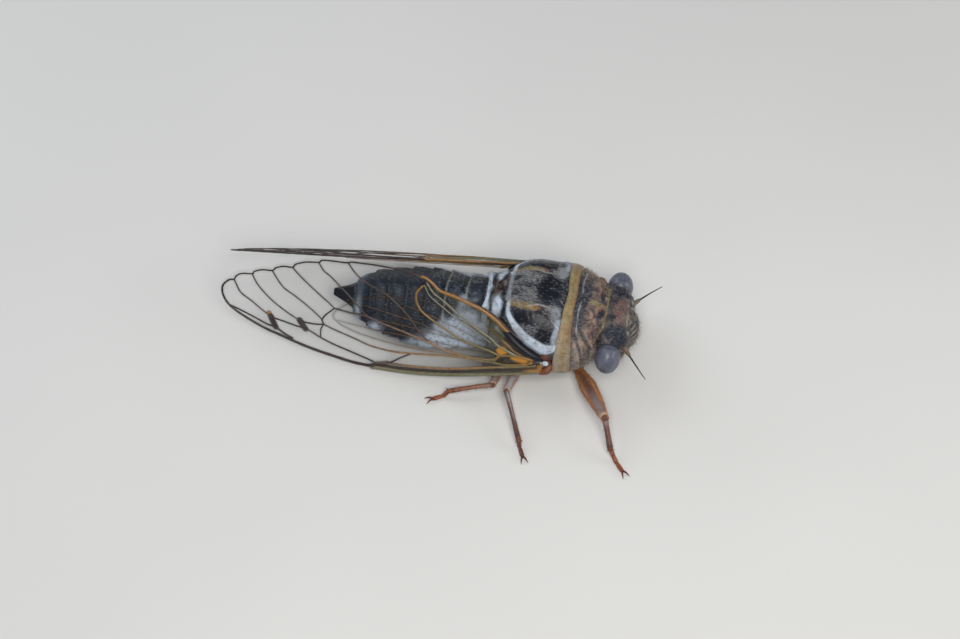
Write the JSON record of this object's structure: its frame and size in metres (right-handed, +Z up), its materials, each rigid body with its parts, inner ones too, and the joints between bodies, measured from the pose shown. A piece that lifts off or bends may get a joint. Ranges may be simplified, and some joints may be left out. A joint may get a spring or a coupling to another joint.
{
  "type": "cicada",
  "caption": "Life-size still model of a grey cicada standing with its clear veined wings folded over its back like a roof.",
  "frame": {"origin": "on the floor, at the middle of the box round the whole animal", "axes": "+X towards the head, +Y to the animal's left, +Z up"},
  "size_m": [0.0376, 0.0198, 0.0089],
  "materials": {
    "head": "dark head, face, beak and feelers with a soft sheen",
    "eye": "grey-purple compound eye with fine dark specks",
    "pronotum": "red-brown shield with darker grooves",
    "collar": "ochre collar",
    "mesonotum": "black and dark blue back with silver-grey down",
    "thorax": "grey-brown underside with pale down",
    "abdomen": "dark blue-black rings with pale hind edges and white waxy sides",
    "leg": "orange-brown legs with dark streaks",
    "wing": "clear membrane with dark brown and olive veins"
  },
  "bodies": {
    "root": {"abdomen_1": "abdomen", "abdomen_2": "abdomen", "abdomen_3": "abdomen", "abdomen_4": "abdomen", "abdomen_5": "abdomen", "abdomen_6": "abdomen", "abdomen_7": "abdomen", "abdomen_tip": "abdomen", "antenna_left": "head", "antenna_right": "head", "beak": "head", "eye_left": "eye", "eye_right": "eye", "face": "head", "foot_front_left": "leg", "foot_front_right": "leg", "foot_hind_left": "leg", "foot_hind_right": "leg", "foot_middle_left": "leg", "foot_middle_right": "leg", "forewing_left": "wing", "forewing_right": "wing", "head": "head", "hindwing_left": "wing", "hindwing_right": "wing", "mesonotum": "mesonotum", "operculum_left": "thorax", "operculum_right": "thorax", "pronotum": "pronotum", "pronotum_collar": "collar", "prothorax_underside": "thorax", "scutellum": "mesonotum", "shin_front_left": "leg", "shin_front_right": "leg", "shin_hind_left": "leg", "shin_hind_right": "leg", "shin_middle_left": "leg", "shin_middle_right": "leg", "thigh_front_left": "leg", "thigh_front_right": "leg", "thigh_hind_left": "leg", "thigh_hind_right": "leg", "thigh_middle_left": "leg", "thigh_middle_right": "leg", "thorax_underside": "thorax"}
  },
  "joints": []
}
